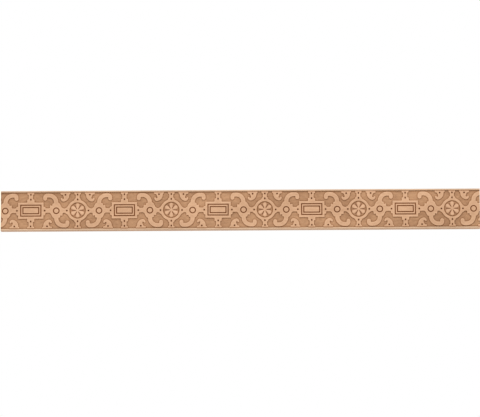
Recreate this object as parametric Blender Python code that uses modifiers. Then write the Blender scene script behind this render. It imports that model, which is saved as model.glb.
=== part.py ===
"""A straight length of carved wooden moulding with a strapwork frieze, cut square at both ends.

The moulding lies along X and stands on edge, as it is fixed to a wall: Z is its width, its flat
back is the plane y = 0 and its carved face looks along -Y. The ornament is one drawing, half a
repeat long, from the middle of an oblong cartouche to the middle of a round boss. The drawing is
made solid once, mirrored into a full repeat and stepped along the board. The drawing is in
millimetres, x along the board and z across it, and every piece of it becomes a mesh in metres.
"""

import math

import bmesh
import bpy
from mathutils import Matrix

MM = 0.001
NAME = "strapwork_moulding"

# The board
LENGTH = 609.6
WIDTH = 50.8
THICKNESS = 12.7
RELIEF = 1.6
GROUND = THICKNESS - RELIEF
BEAD_WIDTH = 2.25
BACK_EASE = 0.5

# The rhythm of the ornament along the board
PITCH = 119.1
HALF_PITCH = PITCH / 2
FIRST_CARTOUCHE = -266.6
REPEATS = 6
SCROLL_X = 32.4

# The straps end a little short of the beads, so that a fine channel runs beside them
STRAP_TOP = 22.75
ROOTED = 1.0
PROUD = 2.0
STAGGER = 0.07

# The oblong cartouche and its two mitred grooves
CARTOUCHE_HALF = (16.2, 10.4)
GROOVE_HALVES = ((12.8, 7.05), (9.9, 4.0))
GROOVE_WIDTH = 1.6
GROOVE_DEPTH = 1.15

# The round boss, its sunk dish and the six petals in it
BOSS_RADIUS = 13.6
DISH_RADIUS = 10.8
DISH_DEPTH = 1.2
PETALS = 6
PETAL_CENTRE = 7.0
PETAL_ROUND = 2.6
PETAL_VALLEY = 2.1

# The S-scroll between them: two arms, each a wide arc and then a tight turn down to a blunt end
ARM_X = -9.5
ARM_Z = 10.3
ARM_RADIUS = 9.2
ARM_ROOT_Z = 7.3
ARM_HALF_ROOT = 2.8
ARM_HALF_TIP = 2.7
CURL_X = -11.4
CURL_RADIUS = 2.8
TIP_Z = 15.2
EYE_RADIUS = 3.5

# Links and ties
NECK_HALF = 3.1
TAB_HALF = 5.6
WAIST_HALF = 2.5
DOT_RADIUS = 1.15
DOT_DEPTH = 1.45

# How finely round things are cut
BEAD_STEPS = 5
ARM_STEPS = 5
CURL_STEPS = 3
TIP_STEPS = 4
BOSS_SIDES = 20
EYE_SIDES = 10
DOT_SIDES = 6
PETAL_STEPS = 4
SMOOTH_UNDER = 35

# How the solids are put together: what a cutter stands clear of its cut as a share of the cut's
# size, how much longer the blank is than the drawing, and how near points and planes are made one
CUTTER_SPARE = 0.25
BLANK_SPARE = 4.0
WELD = 0.005
JOIN = 0.01
CUT_WITHIN = 0.001
FLAT_WITHIN = 0.3
GROOVE_REACH = (1 + CUTTER_SPARE) * GROOVE_WIDTH / 2


def on_circle(centre, radius, angle):
    turn = math.radians(angle)
    return (centre[0] + radius * math.cos(turn), centre[1] + radius * math.sin(turn))


def arc(centre, radius, start, end, steps):
    """Points on an arc, angles in degrees."""
    stride = (end - start) / steps
    return [on_circle(centre, radius, start + stride * step) for step in range(steps + 1)]


def turned(points):
    """The same outline turned half round about the middle of the S-scroll."""
    return [(2 * SCROLL_X - x, -z) for x, z in points]


def flipped_x(points):
    return [(-x, z) for x, z in reversed(points)]


def flipped_z(points):
    return [(x, -z) for x, z in reversed(points)]


def moved(points, x):
    return [(x + px, z) for px, z in points]


def bead_profile():
    """The board's edge in section, (width, height above the back): a half-round bead on the face,
    then the square edge with its back corner eased."""
    edge = WIDTH / 2
    radius = BEAD_WIDTH / 2
    crown = arc((edge - radius, THICKNESS - radius), radius, 180, 0, BEAD_STEPS)
    return [(edge - BEAD_WIDTH, GROUND)] + crown + [(edge, BACK_EASE), (edge - BACK_EASE, 0)]


def cartouche_outline():
    half_x, half_z = CARTOUCHE_HALF
    return [(-half_x, -half_z), (half_x, -half_z), (half_x, half_z), (-half_x, half_z)]


def cartouche_tie():
    """The bitten block that ties the cartouche to the upper bead."""
    side = [
        (4.7, 9.0),
        (4.7, 14.2),
        (WAIST_HALF, 15.2),
        (WAIST_HALF, 19.7),
        (4.4, 20.6),
        (4.4, STRAP_TOP),
    ]
    return side + flipped_x(side)


def boss_tie():
    """The tie above the boss, a bitten block that steps out into the boss's rim."""
    side = [
        (8.6, 10.4),
        (5.6, 13.0),
        (4.3, 13.6),
        (4.0, 15.0),
        (WAIST_HALF, 16.2),
        (WAIST_HALF, 19.6),
        (3.8, 20.6),
        (3.8, STRAP_TOP),
    ]
    return moved(side + flipped_x(side), HALF_PITCH)


def cartouche_link():
    """The tab at the cartouche's end that narrows into the scroll's left neck."""
    upper = [
        (26.0, NECK_HALF),
        (19.0, NECK_HALF),
        (18.4, TAB_HALF),
        (15.0, TAB_HALF),
    ]
    return upper + flipped_z(upper)


def boss_link():
    """The scroll's right neck, flaring into the boss's rim."""
    upper = [
        (50.5, 8.8),
        (47.5, 6.8),
        (46.0, 4.8),
        (44.2, NECK_HALF),
        (39.0, NECK_HALF),
    ]
    return upper + flipped_z(upper)


def scroll_body():
    """The middle of the S-scroll: sloping shoulders on one side of each arm, steps on the other."""
    sloping = [(10.3, 2.3), (8.4, 3.2), (6.9, 4.3), (6.4, 6.8), (4.9, 7.7), (4.6, 9.2), (2.9, 9.8)]
    stepped = [(-5.0, 9.4), (-5.1, 6.9), (-6.9, 6.4), (-7.8, 5.8), (-7.9, 3.8), (-8.9, 2.3)]
    upper = moved(sloping + [(1.5, 10.5), (-1.5, 10.5)] + stepped, SCROLL_X)
    return upper + turned(upper)


def scroll_arm():
    """The upper arm: it leaves the body upwards, sweeps over to the left and turns down."""
    wide = (SCROLL_X + ARM_X, ARM_Z)
    outer = [(wide[0] + ARM_RADIUS + ARM_HALF_ROOT, ARM_ROOT_Z)]
    inner = [(wide[0] + ARM_RADIUS - ARM_HALF_ROOT, ARM_ROOT_Z)]
    for step in range(ARM_STEPS + 1):
        share = step / ARM_STEPS
        half = ARM_HALF_ROOT + (ARM_HALF_TIP - ARM_HALF_ROOT) * share
        outer.append(on_circle(wide, ARM_RADIUS + half, 90 * share))
        inner.append(on_circle(wide, ARM_RADIUS - half, 90 * share))
    tight = (SCROLL_X + CURL_X, ARM_Z + ARM_RADIUS - CURL_RADIUS)
    tip_x = tight[0] - CURL_RADIUS
    curl = arc(tight, CURL_RADIUS + ARM_HALF_TIP, 90, 180, CURL_STEPS)
    tip = arc((tip_x, TIP_Z), ARM_HALF_TIP, 180, 360, TIP_STEPS)
    inner.append((tip_x + ARM_HALF_TIP, ARM_Z + ARM_RADIUS - ARM_HALF_TIP))
    return outer + curl + tip + inner[::-1]


def hook():
    """The small hook that hangs from the upper bead beside the boss."""
    sweep = arc((40.9, 19.5), 8.1, -5, -84, 3)
    beak = arc((41.7, 15.2), 3.75, 256, 172, 2) + [(40.2, 15.8)]
    hollow = arc((39.2, 17.7), 2.8, -46, 76, 4)
    foot = [(38.0, 20.7), (37.8, STRAP_TOP), (50.2, STRAP_TOP), (50.0, 21.2), (49.1, 20.4)]
    return sweep + beak + hollow + foot


def flower_outline():
    """The six petals as one outline, each a round end with straight sides to the middle."""
    points = []
    spread = math.degrees(math.asin(PETAL_ROUND / PETAL_CENTRE))
    for petal in range(PETALS):
        angle = 90 + 360 / PETALS * petal
        centre = on_circle((HALF_PITCH, 0), PETAL_CENTRE, angle)
        reach = 90 + spread
        points += arc(centre, PETAL_ROUND, angle - reach, angle + reach, PETAL_STEPS)
        points.append(on_circle((HALF_PITCH, 0), PETAL_VALLEY, angle + 180 / PETALS))
    return points


def dot_places():
    """Where the small drilled dots are, as (x, z)."""
    hook_dot = [(44.0, 20.2)]
    ties = [(0, 20.2), (0, 13.9), (HALF_PITCH, 20.2), (HALF_PITCH, 14.1)]
    links = [(17.8, 0), (45.9, 0)]
    return ties + flipped_z(ties) + links + hook_dot + turned(hook_dot)


def collection_named(name):
    found = bpy.data.collections.new(name)
    bpy.context.scene.collection.children.link(found)
    return found


def as_helper(made, helpers):
    """Marks a strap or a cutter as something that only shapes the moulding."""
    for owner in made.users_collection:
        owner.objects.unlink(made)
    helpers.objects.link(made)
    made.hide_render = True
    made.display_type = "WIRE"
    return made


def slab(name, outline, low, high, helpers, placed=None):
    """A closed outline made solid between two heights above the moulding's back."""
    curve = bpy.data.curves.new(name, "CURVE")
    curve.dimensions = "2D"
    curve.fill_mode = "BOTH"
    curve.extrude = (high - low) / 2 * MM
    spline = curve.splines.new("POLY")
    spline.points.add(len(outline) - 1)
    for point, (x, z) in zip(spline.points, outline):
        point.co = (x * MM, z * MM, 0, 1)
    spline.use_cyclic_u = True
    drawn = bpy.data.objects.new(name, curve)
    helpers.objects.link(drawn)
    stood_up = Matrix.Rotation(math.radians(90), 4, "X")
    drawn.matrix_world = placed or Matrix.Translation((0, -(high + low) / 2 * MM, 0)) @ stood_up
    bpy.context.view_layer.update()
    seen = drawn.evaluated_get(bpy.context.evaluated_depsgraph_get())
    mesh = bpy.data.meshes.new_from_object(seen)
    mesh.transform(drawn.matrix_world)
    bpy.data.objects.remove(drawn)
    cleaned(mesh)
    return as_helper(bpy.data.objects.new(name, mesh), helpers)


def cleaned(mesh):
    """Welds the mesh, turns its faces outwards and joins what lies in one plane."""
    made = bmesh.new()
    made.from_mesh(mesh)
    bmesh.ops.remove_doubles(made, verts=made.verts, dist=WELD * MM)
    bmesh.ops.dissolve_degenerate(made, edges=made.edges, dist=WELD * MM)
    bmesh.ops.dissolve_limit(
        made, angle_limit=math.radians(FLAT_WITHIN), verts=made.verts, edges=made.edges
    )
    bmesh.ops.recalc_face_normals(made, faces=made.faces)
    made.to_mesh(mesh)
    made.free()


def board_blank(helpers):
    """The plain board with its two edge beads, a little longer than the drawing at both ends."""
    side = bead_profile()
    section = side + [(-z, height) for z, height in reversed(side)]
    half_length = HALF_PITCH / 2 + BLANK_SPARE
    middle = HALF_PITCH / 2 * MM
    along = Matrix(((0, 0, 1, middle), (0, -1, 0, 0), (1, 0, 0, 0), (0, 0, 0, 1)))
    return slab("blank", section, -half_length, half_length, helpers, along)


def groove_ring(name, centre_x, radius, sides, helpers):
    """A cutter for a V-groove that runs round in a ring, a torus with a lozenge section."""
    bpy.ops.mesh.primitive_torus_add(
        major_segments=sides,
        minor_segments=4,
        major_radius=radius * MM,
        minor_radius=GROOVE_REACH * MM,
    )
    ring = bpy.context.object
    ring.name = name
    deepened = Matrix.Scale(2 * GROOVE_DEPTH / GROOVE_WIDTH, 4, (0, 0, 1))
    ring.data.transform(Matrix.Rotation(math.radians(90), 4, "X") @ deepened)
    height = THICKNESS + CUTTER_SPARE * GROOVE_DEPTH
    ring.data.transform(Matrix.Translation((centre_x * MM, -height * MM, 0)))
    return as_helper(ring, helpers)


def groove_frame(name, half_x, half_z, helpers):
    """A mitred V-groove round an oblong: a square ring whose two ends are drawn apart."""
    frame = groove_ring(name, 0, half_z * math.sqrt(2), 4, helpers)
    frame.data.transform(Matrix.Rotation(math.radians(45), 4, "Y"))
    reach = GROOVE_REACH * MM
    for vertex in frame.data.vertices:
        side_x = math.copysign(1, vertex.co.x)
        side_z = math.copysign(1, vertex.co.z)
        spread = (abs(vertex.co.z) - half_z * MM) * math.sqrt(2)
        spread = max(-reach, min(reach, spread))
        vertex.co.x = side_x * (half_x * MM + spread)
        vertex.co.z = side_z * (half_z * MM + spread)
    return frame


def dot_cutter(name, x, z, helpers):
    """A pointed pit, cut by a cone that stands a little proud of the face."""
    depth = DOT_DEPTH * (1 + CUTTER_SPARE)
    bpy.ops.mesh.primitive_cone_add(
        vertices=DOT_SIDES,
        radius1=DOT_RADIUS * (1 + CUTTER_SPARE) * MM,
        radius2=0,
        depth=depth * MM,
    )
    cone = bpy.context.object
    cone.name = name
    middle = THICKNESS - DOT_DEPTH + depth / 2
    cone.data.transform(Matrix.Rotation(math.radians(-90), 4, "X"))
    cone.data.transform(Matrix.Translation((x * MM, -middle * MM, z * MM)))
    return as_helper(cone, helpers)


def boolean(target, tool, operation):
    step = target.modifiers.new(tool.name, "BOOLEAN")
    step.operation = operation
    step.solver = "EXACT"
    step.object = tool


def planing_outline():
    """What the planing cut covers: all the straps, and half of the channels beside the beads."""
    low_x, high_x = -2 * CARTOUCHE_HALF[0], HALF_PITCH + 2 * BOSS_RADIUS
    half_z = (STRAP_TOP + WIDTH / 2 - BEAD_WIDTH) / 2
    return [(low_x, -half_z), (high_x, -half_z), (high_x, half_z), (low_x, half_z)]


def strap_outlines():
    """Every strap of the half repeat, by name. Straps in a pair are mirrored or turned copies."""
    return {
        "cartouche": cartouche_outline(),
        "cartouche_tie_upper": cartouche_tie(),
        "cartouche_tie_lower": flipped_z(cartouche_tie()),
        "cartouche_link": cartouche_link(),
        "scroll_body": scroll_body(),
        "scroll_arm_upper": scroll_arm(),
        "scroll_arm_lower": turned(scroll_arm()),
        "boss_link": boss_link(),
        "boss_rim": arc((HALF_PITCH, 0), BOSS_RADIUS, 0, 360, BOSS_SIDES)[:-1],
        "boss_tie_upper": boss_tie(),
        "boss_tie_lower": flipped_z(boss_tie()),
        "hook_upper": hook(),
        "hook_lower": turned(hook()),
    }


def carve_half_repeat(helpers):
    """The half repeat as one closed solid, longer than its drawing at both ends.

    Each strap starts proud of the face and is rooted in the board, a little more than the one
    before it, so that no two of them share a plane. One flat cut then planes them all down.
    """
    tile = board_blank(helpers)
    for index, (name, outline) in enumerate(strap_outlines().items()):
        extra = STAGGER * index
        low = GROUND - ROOTED - extra
        boolean(tile, slab(name, outline, low, THICKNESS + PROUD + extra, helpers), "UNION")
    dish = arc((HALF_PITCH, 0), DISH_RADIUS, 0, 360, BOSS_SIDES)[:-1]
    above = THICKNESS + 3 * PROUD
    boolean(tile, slab("dish", dish, THICKNESS - DISH_DEPTH, above, helpers), "DIFFERENCE")
    petals = slab("petals", flower_outline(), GROUND - ROOTED / 2, THICKNESS + PROUD / 2, helpers)
    boolean(tile, petals, "UNION")
    boolean(tile, slab("planing", planing_outline(), THICKNESS, above, helpers), "DIFFERENCE")
    for index, (half_x, half_z) in enumerate(GROOVE_HALVES):
        groove = groove_frame(f"cartouche_groove_{index + 1}", half_x, half_z, helpers)
        boolean(tile, groove, "DIFFERENCE")
    eye = groove_ring("scroll_eye", SCROLL_X, EYE_RADIUS, EYE_SIDES, helpers)
    boolean(tile, eye, "DIFFERENCE")
    for index, (x, z) in enumerate(dot_places()):
        boolean(tile, dot_cutter(f"dot_{index + 1}", x, z, helpers), "DIFFERENCE")
    return tile


def finished_mesh(made, name):
    """The object's mesh with all its modifiers worked in."""
    bpy.context.view_layer.update()
    seen = made.evaluated_get(bpy.context.evaluated_depsgraph_get())
    mesh = bpy.data.meshes.new_from_object(seen)
    mesh.name = name
    return mesh


def cut_open(mesh, x, outward):
    """Cuts the mesh across at x and throws away what is outside, leaving the cut open."""
    made = bmesh.new()
    made.from_mesh(mesh)
    bmesh.ops.bisect_plane(
        made,
        geom=made.verts[:] + made.edges[:] + made.faces[:],
        dist=CUT_WITHIN * MM,
        plane_co=(x * MM, 0, 0),
        plane_no=(outward, 0, 0),
        clear_outer=True,
    )
    made.to_mesh(mesh)
    made.free()


def close_ends(mesh):
    made = bmesh.new()
    made.from_mesh(mesh)
    open_edges = [edge for edge in made.edges if edge.is_boundary]
    bmesh.ops.holes_fill(made, edges=open_edges)
    made.to_mesh(mesh)
    made.free()


def step_along(half_repeat, home):
    """Mirrors the half repeat about the cartouche and sets the repeats end to end."""
    run = bpy.data.objects.new(NAME, half_repeat)
    home.objects.link(run)
    mirror = run.modifiers.new("mirror", "MIRROR")
    mirror.use_axis = (True, False, False)
    mirror.merge_threshold = JOIN * MM
    steps = run.modifiers.new("repeats", "ARRAY")
    steps.count = REPEATS
    steps.use_relative_offset = False
    steps.use_constant_offset = True
    steps.constant_offset_displace = (PITCH * MM, 0, 0)
    steps.use_merge_vertices = True
    steps.merge_threshold = JOIN * MM
    mesh = finished_mesh(run, NAME)
    bpy.data.objects.remove(run)
    mesh.transform(Matrix.Translation((FIRST_CARTOUCHE * MM, 0, 0)))
    return mesh


def wood():
    """Pale brown hardwood, oiled and plain."""
    material = bpy.data.materials.new("carved_wood")
    material.use_nodes = True
    shader = material.node_tree.nodes["Principled BSDF"]
    shader.inputs["Base Color"].default_value = (0.66, 0.40, 0.23, 1)
    shader.inputs["Roughness"].default_value = 0.6
    shader.inputs["Metallic"].default_value = 0
    return material


def main():
    for old in list(bpy.data.objects):
        bpy.data.objects.remove(old)
    home = collection_named(NAME)
    helpers = collection_named("straps_and_cutters")

    tile = carve_half_repeat(helpers)
    half_repeat = finished_mesh(tile, "half_repeat")
    cut_open(half_repeat, 0, -1)
    cut_open(half_repeat, HALF_PITCH, 1)
    cleaned(half_repeat)

    mesh = step_along(half_repeat, home)
    cut_open(mesh, -LENGTH / 2, -1)
    cut_open(mesh, LENGTH / 2, 1)
    close_ends(mesh)
    cleaned(mesh)
    mesh.materials.clear()
    mesh.materials.append(wood())
    mesh.shade_smooth()
    mesh.set_sharp_from_angle(angle=math.radians(SMOOTH_UNDER))
    moulding = bpy.data.objects.new(NAME, mesh)
    home.objects.link(moulding)
    for helper in helpers.objects:
        helper.modifiers.clear()


main()
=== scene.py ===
# %% [markdown]
# A carved wooden moulding
#
# The real object is one flat strip of fine-grained wood, two feet long, two inches wide and half
# an inch thick. A bead runs along both edges. Between the beads the ground is sunk and a strapwork
# frieze stands up from it: oblong cartouches and round bosses take turns, S-scrolls link them, and
# small hooks fill the corners. We load the model's frame first, because the carved surface has to
# lie in the place that the plain solid holds. All sizes in the drawing are in millimetres, and
# meshes are made in metres.

# %% Load the frame
import math

import bmesh
import bpy
import numpy as np
from mathutils import Matrix, Vector, noise
from mathutils.geometry import delaunay_2d_cdt


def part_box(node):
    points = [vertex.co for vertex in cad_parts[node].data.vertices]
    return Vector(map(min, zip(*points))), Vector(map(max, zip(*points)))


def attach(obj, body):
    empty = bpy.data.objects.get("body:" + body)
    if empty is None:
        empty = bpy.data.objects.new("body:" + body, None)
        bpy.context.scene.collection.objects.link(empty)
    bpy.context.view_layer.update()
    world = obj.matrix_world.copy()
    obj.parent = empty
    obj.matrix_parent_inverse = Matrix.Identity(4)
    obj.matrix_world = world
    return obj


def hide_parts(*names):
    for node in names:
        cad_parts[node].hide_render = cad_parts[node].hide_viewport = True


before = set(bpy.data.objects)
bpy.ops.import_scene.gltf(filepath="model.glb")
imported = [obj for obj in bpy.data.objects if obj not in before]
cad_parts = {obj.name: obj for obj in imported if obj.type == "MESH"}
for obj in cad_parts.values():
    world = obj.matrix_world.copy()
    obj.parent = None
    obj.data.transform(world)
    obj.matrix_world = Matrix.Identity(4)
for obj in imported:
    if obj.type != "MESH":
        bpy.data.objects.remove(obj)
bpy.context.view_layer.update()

MM = 0.001
NODE = "strapwork_moulding"
low, high = (np.array(corner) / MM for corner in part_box(NODE))
LENGTH, THICKNESS, WIDTH = high - low
print("board", round(LENGTH, 1), "long", round(WIDTH, 1), "wide", round(THICKNESS, 1), "thick")

# %% [markdown]
# The rhythm of the frieze
#
# A carver sets out one half of the repeat, from the middle of a cartouche to the middle of a boss,
# and turns the pattern over for the other half. We do the same: everything is drawn once for
# x = 0 to HALF_PITCH, then mirrored and stepped along the board. That keeps every cartouche alike,
# and the mesh small enough to give its edges real detail. The plates lie a hair below the beads'
# crowns, and whatever stands on a bead is drawn a little past it, to be cut off there later.

# %% Measures of the frieze
PITCH = 119.1
HALF_PITCH = PITCH / 2
FIRST_CARTOUCHE = -266.6
REPEATS = 6
SCROLL_X = 32.4

RELIEF = 1.6
PLATE_DROP = 0.05
FACE = THICKNESS - PLATE_DROP
GROUND = THICKNESS - RELIEF
BEAD_WIDTH = 2.25
BACK_EASE = 0.5
FIELD_HALF = WIDTH / 2 - BEAD_WIDTH
STRAP_OVERRUN = 0.6
STRAP_TOP = FIELD_HALF + STRAP_OVERRUN
print("half a repeat is", HALF_PITCH, "mm, the sunk field", round(2 * FIELD_HALF, 1), "mm wide")

# %% [markdown]
# Small drawing tools
#
# Round stretches are arcs with points about two thirds of a millimetre apart, straight ones need
# only their ends. The frieze has a second trick: each scroll looks the same when it is turned half
# round, so its lower arm and lower hook are the upper ones turned about the scroll's middle.

# %% Arcs, mirror images and half turns
ARC_STEP = 0.65


def on_circle(centre, radius, angle):
    turn = math.radians(angle)
    return (centre[0] + radius * math.cos(turn), centre[1] + radius * math.sin(turn))


def arc(centre, radius, start, end):
    steps = max(2, round(abs(math.radians(end - start)) * radius / ARC_STEP))
    return [on_circle(centre, radius, start + (end - start) * i / steps) for i in range(steps + 1)]


def circle(centre, radius):
    return arc(centre, radius, 0, 360)[:-1]


def turned(points):
    return [(2 * SCROLL_X - x, -z) for x, z in points]


def flipped_x(points):
    return [(-x, z) for x, z in reversed(points)]


def flipped_z(points):
    return [(x, -z) for x, z in reversed(points)]


def moved(points, x):
    return [(x + px, z) for px, z in points]


print("a circle of 5 mm takes", len(circle((0, 0), 5)), "points")

# %% [markdown]
# The cartouche and its ties
#
# The cartouche is an oblong plate. A bitten block ties it to the bead above and below, and a tab
# at its end narrows into the scroll's neck. These have straight edges, so plain lists of corners
# say all there is to say. A tie is drawn on one side and flipped for the other, but the tab's
# upper and lower sides differ on the real piece, so both are written out.

# %% Draw the cartouche
CARTOUCHE_HALF = (16.2, 10.4)
WAIST_HALF = 2.75
NECK_HALF = 2.9


def cartouche_outline():
    half_x, half_z = CARTOUCHE_HALF
    return [(-half_x, -half_z), (half_x, -half_z), (half_x, half_z), (-half_x, half_z)]


def cartouche_tie():
    side = [
        (4.6, 9.0),
        (4.6, 13.8),
        (4.2, 14.2),
        (WAIST_HALF, 14.6),
        (WAIST_HALF, 20.4),
        (4.3, 20.7),
        (4.4, STRAP_TOP),
    ]
    return side + flipped_x(side)


def cartouche_link():
    upper = [(26.0, NECK_HALF), (19.3, NECK_HALF), (18.7, 3.6), (18.1, 4.4), (17.2, 4.8), (15.0, 4.8)]
    lower = [(15.0, -6.1), (17.6, -6.0), (18.2, -5.4), (18.4, -4.0), (18.7, -NECK_HALF)]
    return upper + lower + [(26.0, -NECK_HALF)]


corner_counts = [len(shape) for shape in (cartouche_outline(), cartouche_tie(), cartouche_link())]
print("corners of plate, tie and tab:", corner_counts)

# %% [markdown]
# The boss and its ties
#
# The boss is a round plate with a dish sunk in it, and in the dish lies a flower of six petals.
# Its ties are bitten like the cartouche's and slope out into the rim, and a flare on each side
# runs into the scroll's neck. A petal is an arc whose straight sides run in towards the middle;
# asin gives the angle at which such a side touches the arc.

# %% Draw the boss
BOSS_RADIUS = 13.6
DISH_RADIUS = 10.5
DISH_DEPTH = 1.2
PETALS = 6
PETAL_CENTRE = 7.0
PETAL_ROUND = 2.6
PETAL_VALLEY = 2.1
BOSS_WAIST_HALF = 2.55
BOSS_CENTRE = (HALF_PITCH, 0)


def boss_tie():
    side = [
        (5.6, 11.0),
        (5.0, 12.7),
        (4.1, 13.6),
        (3.8, 14.9),
        (BOSS_WAIST_HALF, 15.8),
        (BOSS_WAIST_HALF, 20.1),
        (3.4, 20.6),
        (4.1, 20.8),
        (4.1, STRAP_TOP),
    ]
    return moved(side + flipped_x(side), HALF_PITCH)


def boss_link():
    upper = [(50.5, 8.8), (48.6, 7.8), (47.3, 6.1), (46.2, 4.4), (44.6, 3.2), (43.2, 2.5)]
    lower = [(43.6, -3.0), (44.9, -4.1), (46.6, -5.2), (48.0, -6.9), (49.2, -8.4), (50.5, -8.8)]
    return upper + [(39.0, NECK_HALF), (39.0, -3.0)] + lower


def flower_outline():
    points = []
    reach = 90 + math.degrees(math.asin(PETAL_ROUND / PETAL_CENTRE))
    for petal in range(PETALS):
        angle = 90 + 360 / PETALS * petal
        centre = on_circle(BOSS_CENTRE, PETAL_CENTRE, angle)
        points += arc(centre, PETAL_ROUND, angle - reach, angle + reach)
        points.append(on_circle(BOSS_CENTRE, PETAL_VALLEY, angle + 180 / PETALS))
    return points


corner_counts = [len(shape) for shape in (boss_tie(), boss_link(), flower_outline())]
print("corners of tie, flare and flower:", corner_counts)

# %% [markdown]
# The S-scroll
#
# Its body has a sloping shoulder on one side of each arm and two carved steps on the other. An arm
# sweeps over in one wide arc, turns down short and ends blunt and round. The strap narrows a
# little on its way, so both its edges are stepped off from the arc's middle line. Half the body
# and one arm are drawn, round the scroll's middle, and the other half is turned.

# %% Draw the scroll
ARM_X = -9.15
ARM_Z = 10.3
ARM_RADIUS = 9.0
ARM_ROOT_Z = 7.3
ARM_HALF_ROOT = 2.7
ARM_HALF_TIP = 2.5
CURL_X = -11.4
CURL_RADIUS = 2.8
TIP_Z = 15.2


def scroll_body():
    sloping = [(10.3, 2.3), (8.4, 3.0), (6.8, 4.1), (6.2, 5.8), (5.5, 7.1), (4.6, 8.7), (3.0, 9.8)]
    upper_step = [(-2.9, 9.3), (-4.4, 9.0), (-5.0, 8.3), (-5.1, 6.8)]
    lower_step = [(-5.7, 6.3), (-6.4, 6.3), (-6.9, 6.8), (-7.7, 6.6), (-8.1, 5.7), (-8.1, 4.0)]
    under_arm = [(1.5, 10.5), (-1.5, 10.5)]
    upper = moved(sloping + under_arm + upper_step + lower_step + [(-8.9, 2.7)], SCROLL_X)
    return upper + turned(upper)


def scroll_arm():
    wide = (SCROLL_X + ARM_X, ARM_Z)
    outer = [(wide[0] + ARM_RADIUS + ARM_HALF_ROOT, ARM_ROOT_Z)]
    inner = [(wide[0] + ARM_RADIUS - ARM_HALF_ROOT, ARM_ROOT_Z)]
    stations = round(math.radians(90) * ARM_RADIUS / ARC_STEP)
    for station in range(stations + 1):
        share = station / stations
        half = ARM_HALF_ROOT + (ARM_HALF_TIP - ARM_HALF_ROOT) * share
        outer.append(on_circle(wide, ARM_RADIUS + half, 90 * share))
        inner.append(on_circle(wide, ARM_RADIUS - half, 90 * share))
    tight = (SCROLL_X + CURL_X, ARM_Z + ARM_RADIUS - CURL_RADIUS)
    tip_x = tight[0] - CURL_RADIUS
    curl = arc(tight, CURL_RADIUS + ARM_HALF_TIP, 90, 180)
    tip = arc((tip_x, TIP_Z), ARM_HALF_TIP, 180, 360)
    inner.append((tip_x + ARM_HALF_TIP, ARM_Z + ARM_RADIUS - ARM_HALF_TIP))
    return outer + curl + tip + inner[::-1]


print("points of body and arm:", len(scroll_body()), len(scroll_arm()))

# %% [markdown]
# The hooks
#
# A small hook on a serif foot hangs from the bead beside each boss, and its turned copy stands
# on the lower bead beside each cartouche. Its back is one long sweep that tightens at the beak.
# The hollow behind the beak is a smaller arc, and from there a slanting side runs to the foot.

# %% Draw the hook
def hook():
    sweep = arc((40.7, 19.5), 8.1, -5, -84)
    beak = arc((41.6, 15.1), 3.6, 256, 176) + [(38.4, 16.1), (39.5, 16.1)]
    hollow = arc((41.1, 15.9), 1.05, -150, -10) + [(41.9, 17.0), (41.3, 18.4), (40.5, 20.2)]
    foot = [(38.4, 20.5), (37.8, 21.1), (37.8, STRAP_TOP), (50.3, STRAP_TOP), (50.2, 21.2), (49.0, 20.7)]
    return sweep + beak + hollow + foot


def strap_outlines():
    return {
        "cartouche": cartouche_outline(),
        "cartouche_tie_upper": cartouche_tie(),
        "cartouche_tie_lower": flipped_z(cartouche_tie()),
        "cartouche_link": cartouche_link(),
        "scroll_body": scroll_body(),
        "scroll_arm_upper": scroll_arm(),
        "scroll_arm_lower": turned(scroll_arm()),
        "boss_link": boss_link(),
        "boss_rim": circle(BOSS_CENTRE, BOSS_RADIUS),
        "boss_tie_upper": boss_tie(),
        "boss_tie_lower": flipped_z(boss_tie()),
        "hook_upper": hook(),
        "hook_lower": turned(hook()),
    }


print(len(strap_outlines()), "straps drawn,", sum(map(len, strap_outlines().values())), "points")

# %% [markdown]
# One outline round all the straps
#
# On the wood the straps flow into each other, with no seam where they cross. Boolean modifiers
# could join thirteen slabs, but they would leave ragged triangles along every carved edge. Here
# the joining is done flat: Blender's constrained Delaunay routine cuts all outlines into
# triangles and says which outlines hold each one, and the edges where "wood" meets "no wood" are
# the outline of the whole. The dish is taken away in the same pass.

# %% Join the straps
FLAT_MERGE = 1e-4


def signed_area(points):
    a = np.array(points)
    b = np.roll(a, -1, axis=0)
    return 0.5 * float((a[:, 0] * b[:, 1] - b[:, 0] * a[:, 1]).sum())


def joined_loops(outlines, holes):
    shapes = [shape if signed_area(shape) > 0 else shape[::-1] for shape in outlines + holes]
    points = []
    faces = []
    for shape in shapes:
        faces.append(list(range(len(points), len(points) + len(shape))))
        points += [Vector(point) for point in shape]
    corners, _, triangles, _, _, owners = delaunay_2d_cdt(points, [], faces, 0, FLAT_MERGE)
    sides = set()
    for triangle, inside in zip(triangles, owners):
        if inside and max(inside) < len(outlines):
            sides.update(zip(triangle, triangle[1:] + triangle[:1]))
    onward = {start: end for start, end in sides if (end, start) not in sides}
    loops = []
    while onward:
        start, step = onward.popitem()
        loop = [start]
        while step != loop[0]:
            loop.append(step)
            step = onward.pop(step)
        loops.append([tuple(corners[index]) for index in loop])
    return loops


raw_loops = joined_loops(list(strap_outlines().values()), [circle(BOSS_CENTRE, DISH_RADIUS)])
print(len(raw_loops), "outlines after joining, with", [len(loop) for loop in raw_loops], "points")

# %% [markdown]
# Corners as a tool leaves them
#
# No gouge cuts a perfectly sharp inner corner, and hands soon soften the outer ones. Each real
# corner is replaced by a short curve that starts a quarter of a millimetre or so before it. Long
# straight sides get points in between, so that the carved edge can follow the outline closely,
# and points that all but coincide are dropped.

# %% Soften the corners
CORNER_SETBACK = 0.28
CORNER_SHARE = 0.45
CORNER_TURN = 18
STRAIGHT_STEP = 1.5
LEAST_SIDE = 0.05


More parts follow.
